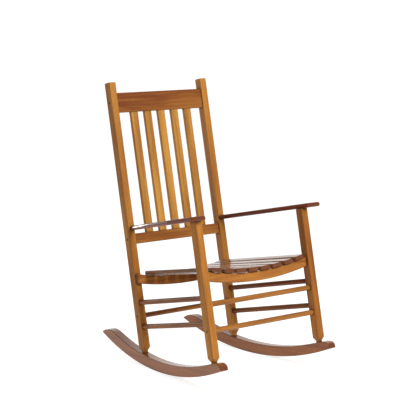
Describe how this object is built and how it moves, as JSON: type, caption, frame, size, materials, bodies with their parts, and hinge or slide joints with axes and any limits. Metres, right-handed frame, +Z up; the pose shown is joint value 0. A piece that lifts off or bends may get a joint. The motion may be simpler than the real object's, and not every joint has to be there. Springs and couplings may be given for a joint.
{
  "type": "rocking chair",
  "caption": "Slat-back wooden rocking chair with flat arms, a dished slatted seat and round stretchers on curved rockers.",
  "frame": {"origin": "on the floor, midway between the rocker tips and between the two sides", "axes": "+Z up, -Y the way the sitter faces, +X the sitter's left"},
  "size_m": [0.6662, 0.8793, 1.1489],
  "materials": {
    "post_wood": "satin varnish, golden brown",
    "rail_wood": "satin varnish, reddish brown",
    "back_slat_wood": "satin varnish, golden brown",
    "seat_slat_wood": "glossy varnish, honey brown",
    "arm_wood": "glossy varnish, dark reddish brown",
    "rocker_wood": "satin varnish, brown",
    "stretcher_wood": "satin varnish, brown",
    "peg_wood": "dark end grain"
  },
  "bodies": {
    "root": {"arm_dowel_left": "peg_wood", "arm_dowel_right": "peg_wood", "arm_left": "arm_wood", "arm_right": "arm_wood", "back_post_left": "post_wood", "back_post_right": "post_wood", "back_slat_1": "back_slat_wood", "back_slat_2": "back_slat_wood", "back_slat_3": "back_slat_wood", "back_slat_4": "back_slat_wood", "back_slat_5": "back_slat_wood", "crest_rail": "rail_wood", "crest_rail_peg_left": "peg_wood", "crest_rail_peg_right": "peg_wood", "front_post_left": "post_wood", "front_post_right": "post_wood", "front_seat_rail": "rail_wood", "lower_back_rail": "rail_wood", "lower_back_rail_peg_left": "peg_wood", "lower_back_rail_peg_right": "peg_wood", "lower_front_stretcher": "stretcher_wood", "lower_front_stretcher_peg_left": "peg_wood", "lower_front_stretcher_peg_right": "peg_wood", "lower_side_stretcher_left": "stretcher_wood", "lower_side_stretcher_right": "stretcher_wood", "rear_seat_rail": "rail_wood", "rear_seat_rail_dowel_left": "peg_wood", "rear_seat_rail_dowel_right": "peg_wood", "rear_stretcher": "stretcher_wood", "rear_stretcher_peg_left": "peg_wood", "rear_stretcher_peg_right": "peg_wood", "rocker_left": "rocker_wood", "rocker_right": "rocker_wood", "seat_slat_1": "seat_slat_wood", "seat_slat_2": "seat_slat_wood", "seat_slat_3": "seat_slat_wood", "seat_slat_4": "seat_slat_wood", "seat_slat_5": "seat_slat_wood", "seat_slat_6": "seat_slat_wood", "seat_slat_7": "seat_slat_wood", "seat_slat_8": "seat_slat_wood", "upper_front_stretcher": "stretcher_wood", "upper_side_stretcher_left": "stretcher_wood", "upper_side_stretcher_right": "stretcher_wood"}
  },
  "joints": []
}
